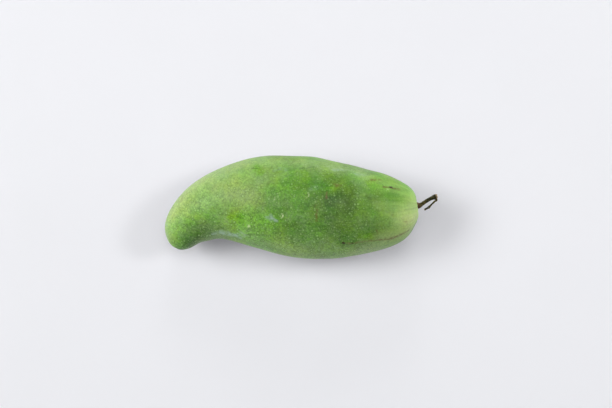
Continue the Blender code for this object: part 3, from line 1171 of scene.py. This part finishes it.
@dataclass
class Shoot:
    """A woody shoot: a knobbly tube along a bent line, with bark and a torn end.

    Attributes:
        groups: The shared node groups.
        node: The CAD node that it stands for.
        name: The piece's name.
        slot: The record's material slot; it is not used.
        route: The shoot's centre line, as shares of its CAD node's box.
        outline: Distances along it and radii, in millimetres.
        finish: Its colours.
    """

    groups: GroupMaker
    node: str
    name: str
    slot: str
    route: tuple[Triple, ...]
    outline: tuple[Pair, ...]
    finish: BarkFinish = field(default_factory=BarkFinish)
    around: int = 48
    rings: int = 150
    cut_rings: int = 20            # the last rings, which are pale wood
    ridge: float = 0.11            # in millimetres, as all the fields below but the lobe's turn
    knobs: float = 0.16
    full: float = 0.8              # the radius from which ridges and knobs are full
    torn: float = 0.5              # how ragged the end is
    torn_reach: float = 1.2        # and how far from the end
    dead: Pair = (3.2, 1.6)        # how far from the end the bark is dead, and how that fades
    collar: float = 6.0            # how far the brown foot reaches
    ear: float = 0.0               # how far the small lobe at the foot stands out
    ear_place: Pair = (0.7, 0.7)   # how far along it is, and how long
    ear_turn: Pair = (168.0, 17.0)  # its turn and how wide it is, in degrees

    def build(self) -> Object:
        """Model and dress the shoot.

        Returns:
            The finished piece, riding on the body.
        """
        path = Path([in_box(self.node, shares) for shares in self.route])
        outline = Outline(self.outline)
        bm = unit_sphere(self.around, self.rings)
        flow = bm.verts.layers.float_vector.new("flow")
        foot, cut, dead = (bm.verts.layers.float.new(name) for name in ("foot", "cut", "dead"))
        last, reach = outline.at(1.0)[0], self.torn_reach * MM
        dead_from, dead_full = (length * MM for length in self.dead)
        for vert in bm.verts:
            share, angle = sphere_turn(vert)
            distance, radius = outline.at(share)
            heading = path.heading(min(distance, path.length), MM)
            side = heading.cross(UP).normalized()
            spoke = side * math.cos(angle) + side.cross(heading) * math.sin(angle)
            radius += self._relief(distance, radius, angle)
            near_end = smoothstep((distance - last + reach) / reach)
            ragged = noise.noise(Vector((math.cos(angle), math.sin(angle), radius / MM)) * 2.3)
            distance += self.torn * ragged * near_end * MM
            beyond = max(distance - path.length, 0.0)
            vert.co = path.at(distance) + heading * beyond + spoke * radius
            vert[flow] = Vector((distance, radius * math.cos(angle), radius * math.sin(angle)))
            vert[foot] = 1.0 - smoothstep(distance / (self.collar * MM))
            to_cut = (share - 1.0) * self.rings + self.cut_rings
            vert[cut] = near_end * smoothstep(to_cut / 3)
            vert[dead] = smoothstep((distance - last + dead_from) / dead_full)
        piece = finish_mesh(self.name, bm, self._bark())
        stand_for(piece, self.node)
        return piece

    def _relief(self, distance: float, radius: float, angle: float) -> float:
        """Return how far the bark stands out from the even outline, in metres.

        Args:
            distance: How far along the shoot the place is, in metres.
            radius: The outline's radius there, in metres.
            angle: The place's turn, in radians.
        """
        along = distance / MM
        grain = Vector((along * 0.35, math.cos(angle) * 2.2, math.sin(angle) * 2.2))
        rough = self.ridge * noise.noise(grain * 1.6)
        rough += self.knobs * noise.noise(grain * Vector((1.6, 0.5, 0.5)))
        (place, length), (turn, width) = self.ear_place, self.ear_turn
        ear = bell(along - place, length) * bell(turn_between(math.degrees(angle), turn), width)
        return (rough * smoothstep(radius / (self.full * MM)) + self.ear * ear) * MM

    def _bark(self) -> Material:
        """Return the bark, with a browner foot and pale wood where it is torn."""
        finish = self.finish
        material, nodes, shader = new_material(f"{self.name}_bark")
        foot, cut, dead = (nodes.attribute(name) for name in ("foot", "cut", "dead"))
        grain = nodes.group(self.groups.bark, Flow=nodes.attribute("flow", "Vector"))
        colour = nodes.mix(grain["Tone"], finish.deep, finish.bark)
        colour = nodes.mix(grain["Flecks"], colour, finish.light)
        colour = nodes.mix(nodes.times(foot, 0.7), colour, finish.brown)
        colour = nodes.mix(nodes.times(dead, 0.6), colour, finish.deep)
        pale = nodes.times(cut, nodes.ramp(grain["Tone"], 0.0, 0.7, 0.45, 1.0))
        inputs = {
            "Base Color": nodes.mix(pale, colour, finish.wood),
            "Roughness": nodes.ramp(grain["Ridges"], 0.2, 0.8, *finish.roughness),
            "Normal": nodes.bump(grain["Ridges"], 0.8, finish.bump_depth),
            "Specular IOR Level": finish.specular,
        }
        nodes.fill(shader, inputs)
        return material


# The routes are shares of the CAD nodes' boxes, and the outlines are distances and radii in
# millimetres.
STALK_ROUTE = (
    (-0.070, 0.220, 0.372), (0.060, 0.220, 0.376), (0.160, 0.231, 0.391),
    (0.242, 0.297, 0.425), (0.406, 0.467, 0.508), (0.634, 0.674, 0.626),
    (0.792, 0.778, 0.693), (0.963, 0.891, 0.777),
)
STALK_OUTLINE = (
    (0.0, 0.0), (0.0, 1.9), (0.6, 2.35), (1.8, 2.45), (2.8, 2.20), (3.6, 1.80), (4.6, 1.48),
    (5.8, 1.34), (9.0, 1.26), (12.0, 1.28), (14.4, 1.38), (15.8, 1.66), (16.8, 1.72),
    (17.6, 1.50), (18.0, 1.15), (17.7, 0.60), (17.9, 0.0),
)
TWIG_ROUTE = (
    (0.910, 1.160, 0.850), (0.960, 0.930, 0.820), (0.862, 0.850, 0.763),
    (0.600, 0.567, 0.596), (0.373, 0.296, 0.457), (0.237, 0.206, 0.345),
    (0.044, 0.077, 0.178),
)
TWIG_OUTLINE = (
    (0.0, 0.0), (0.0, 0.95), (0.8, 1.00), (1.6, 0.85), (2.6, 0.66), (5.2, 0.58),
    (7.6, 0.62), (8.6, 0.90), (9.4, 0.95), (10.1, 0.68), (11.6, 0.62), (12.4, 0.74),
    (12.9, 0.62), (12.9, 0.0),
)


# ---- table, light and camera


class Target(Enum):
    """What a lamp lights: shades keep some lamps off the table, and others off the fruit."""

    ALL = "all"
    FRUIT = "fruit"
    TABLE = "table"


@dataclass(frozen=True)
class Lamp:
    """A soft round lamp that points at the fruit.

    Attributes:
        name: What the lamp is for.
        azimuth: Where it stands, in degrees from +X towards +Y.
        elevation: How high it stands, in degrees.
        power: Its power, in watts.
        size: How wide it is, in metres.
        target: What it lights.
        glossy: Whether it shows in the gloss.
    """

    name: str
    azimuth: float
    elevation: float
    power: float
    size: float = 0.6
    target: Target = Target.ALL
    glossy: bool = True


@dataclass
class Studio:
    """The plain pale table, the soft light and the camera straight above.

    Attributes:
        groups: The shared node groups.
        pieces: The finished pieces of the fruit.
    """

    groups: GroupMaker
    pieces: tuple[Object, ...]
    lamps: tuple[Lamp, ...] = (
        Lamp("left_window", 162.0, 45.0, 14.0, 1.0),
        Lamp("left_kicker", 162.0, 45.0, 9.0, 1.0, Target.FRUIT),
        Lamp("right_window", 0.0, 25.0, 9.5, target=Target.FRUIT, glossy=False),
        Lamp("right_high", 15.0, 45.0, 10.5, glossy=False),
        Lamp("top_light", 90.0, 76.0, 11.0, 1.0),
        Lamp("front_left", 240.0, 25.0, 4.5, target=Target.FRUIT),
        Lamp("low_left", 200.0, 10.0, 28.0, 0.9, Target.FRUIT, glossy=False),
        Lamp("back", 90.0, 25.0, 5.5),
        Lamp("low_back_right", 60.0, 10.0, 16.0, target=Target.FRUIT, glossy=False),
        Lamp("low_back_gloss", 60.0, 10.0, 6.0, target=Target.FRUIT),
        Lamp("left_wash", 178.0, 45.0, 9.0, 1.0, Target.TABLE),
        Lamp("right_wash", 0.0, 25.0, 8.0, 1.2, Target.TABLE),
        Lamp("high_wash", 0.0, 74.0, 4.5, 1.0, Target.TABLE),
    )
    lamp_distance: float = 2.2
    fill: float = 0.05             # the room's light on the fruit
    backdrop: Colour = (0.86, 0.87, 0.89, 1.0)
    table_reach: float = 1.6
    table_full: float = 0.42       # out to here the table is solid, and then it fades
    table_gone: float = 1.44       # until it is gone here
    table_sides: int = 128
    table_cloud: float = 0.985     # how dim its faint clouds are
    table_colour: Colour = (0.93, 0.935, 0.97, 1.0)
    view_width: float = 0.437
    view_distance: float = 1.10
    view_centre: Triple = (0.0057, 0.0021, 0.030)
    sensor: float = 36.0

    def build(self) -> None:
        """Set up the table, the lamps, the room and the camera."""
        lit = {target: bpy.data.collections.new(f"lit_{target.value}") for target in Target}
        lit[Target.TABLE].objects.link(self._table())
        for piece in self.pieces:
            lit[Target.FRUIT].objects.link(piece)
            piece.visible_diffuse = False
        for lamp in self.lamps:
            light = self._lamp(lamp)
            if lamp.target is not Target.ALL:
                light.light_linking.receiver_collection = lit[lamp.target]
        self._room()
        self._camera()
        bpy.context.scene.view_settings.view_transform = "Standard"

    def _table(self) -> Object:
        """Lay a wide round table top under the fruit, which fades into the backdrop."""
        material, nodes, shader = new_material("pale_table")
        place = nodes.add("ShaderNodeTexCoord").outputs["Object"]
        cloud = self.groups.blotches(
            nodes, place, Scale=9.0, Level=0.5, Softness=0.3, Roughness=0.5
        )
        tint = dimmed(self.table_colour, self.table_cloud)
        fade = nodes.ramp(nodes.length(place), self.table_full, self.table_gone, 1.0, 0.0)
        inputs = {
            "Base Color": nodes.mix(cloud, tint, self.table_colour),
            "Alpha": fade,
            "Roughness": 0.95,
            "Specular IOR Level": 0.0,
        }
        nodes.fill(shader, inputs)
        bm = bmesh.new()
        bmesh.ops.create_circle(
            bm, cap_ends=True, radius=self.table_reach, segments=self.table_sides
        )
        table = finish_mesh("table", bm, material)
        return table

    def _lamp(self, lamp: Lamp) -> Object:
        """Set up one lamp.

        Args:
            lamp: Its place, power and kind.

        Returns:
            The lamp's object, linked to the scene.
        """
        data = bpy.data.lights.new(lamp.name, "AREA")
        data.shape = "DISK"
        data.size = lamp.size
        data.energy = lamp.power
        turn, rise = math.radians(lamp.azimuth), math.radians(lamp.elevation)
        way = Vector(
            (math.cos(turn) * math.cos(rise), math.sin(turn) * math.cos(rise), math.sin(rise))
        )
        light = bpy.data.objects.new(lamp.name, data)
        light.location = way * self.lamp_distance
        light.rotation_euler = way.to_track_quat("Z", "Y").to_euler()
        light.visible_camera = False
        light.visible_glossy = lamp.glossy
        bpy.context.scene.collection.objects.link(light)
        return light

    def _room(self) -> None:
        """Stand a pale backdrop all round, which itself gives only a little light."""
        world = bpy.data.worlds.new("room")
        world.use_nodes = True
        nodes = Nodes(world.node_tree)
        seen = nodes.add("ShaderNodeLightPath").outputs["Is Camera Ray"]
        dim = dimmed(self.backdrop, self.fill)
        background = world.node_tree.nodes["Background"]
        nodes.feed(background.inputs["Color"], nodes.mix(seen, dim, self.backdrop))
        bpy.context.scene.world = world

    def _camera(self) -> None:
        """Hang the camera straight above the fruit, looking down."""
        data = bpy.data.cameras.new("camera")
        data.sensor_width = self.sensor
        data.lens = self.sensor * self.view_distance / self.view_width
        camera = bpy.data.objects.new("camera", data)
        camera.location = Vector(self.view_centre) + UP * self.view_distance
        bpy.context.scene.collection.objects.link(camera)
        bpy.context.scene.camera = camera


def main() -> None:
    """Build every piece in order, and the studio round them."""
    logging.basicConfig(level=logging.INFO, format="%(name)s: %(message)s")
    groups = GroupMaker()
    fruit = Fruit(groups).build()
    stalk = Shoot(
        groups, "stalk", "stalk_wood", "stalk_bark", STALK_ROUTE, STALK_OUTLINE, ear=1.5
    ).build()
    twig = Shoot(
        groups,
        "side_twig",
        "side_twig_wood",
        "twig_bark",
        TWIG_ROUTE,
        TWIG_OUTLINE,
        around=32,
        rings=110,
        ridge=0.06,
        knobs=0.08,
        torn=0.25,
        collar=1.6,
    ).build()
    Studio(groups, (fruit, stalk, twig)).build()


if __name__ == "__main__":
    main()
